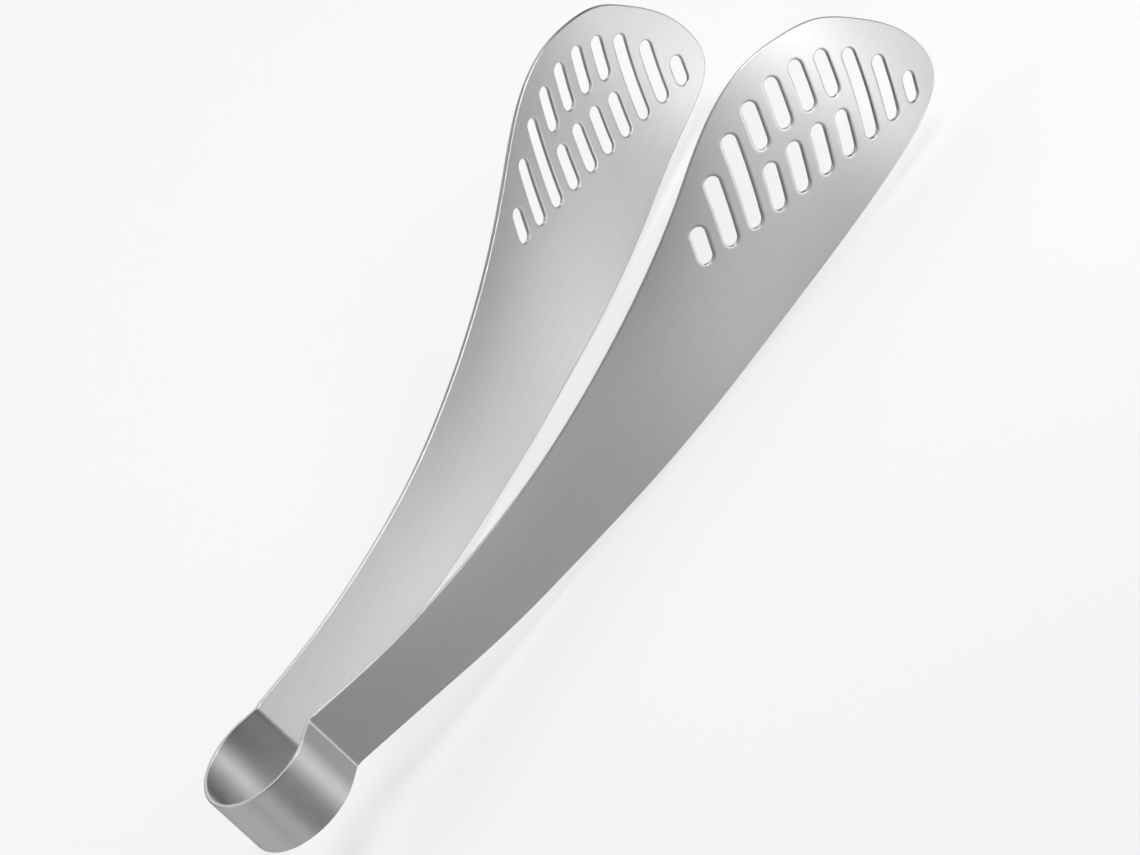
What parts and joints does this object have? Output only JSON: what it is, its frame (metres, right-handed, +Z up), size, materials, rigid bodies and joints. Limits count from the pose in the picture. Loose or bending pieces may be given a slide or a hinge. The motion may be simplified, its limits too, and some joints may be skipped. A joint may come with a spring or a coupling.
{
  "type": "barbecue tongs",
  "caption": "Steel barbecue tongs: a round spring bow joins long dished arms whose rounded, slotted heads close on each other when squeezed.",
  "frame": {"origin": "under the middle of the tongs' box, on the surface that the arms' long lower rims lie on", "axes": "+X from the bow to the tips, +Z up across the strip's width, +Y towards the left arm; the arms open and close along Y"},
  "size_m": [0.25, 0.0956, 0.0558],
  "materials": {
    "steel": "satin brushed stainless steel, bare"
  },
  "bodies": {
    "bow": {"spring_bow": "steel"},
    "left_arm": {"left_arm": "steel"},
    "right_arm": {"right_arm": "steel"}
  },
  "joints": [
    {"name": "left_squeeze", "type": "hinge", "parent": "bow", "child": "left_arm", "pos_m": [-0.11293, 0.01108, 0.02411], "axis": [0, 0, -1], "range_deg": [-3, 10.9], "stiffness_Nm_per_rad": 14, "deforming": ["spring_bow"]},
    {"name": "right_squeeze", "type": "hinge", "parent": "bow", "child": "right_arm", "pos_m": [-0.11293, -0.01108, 0.02411], "axis": [0, 0, 1], "range_deg": [-3, 10.9], "stiffness_Nm_per_rad": 14, "deforming": ["spring_bow"]}
  ]
}
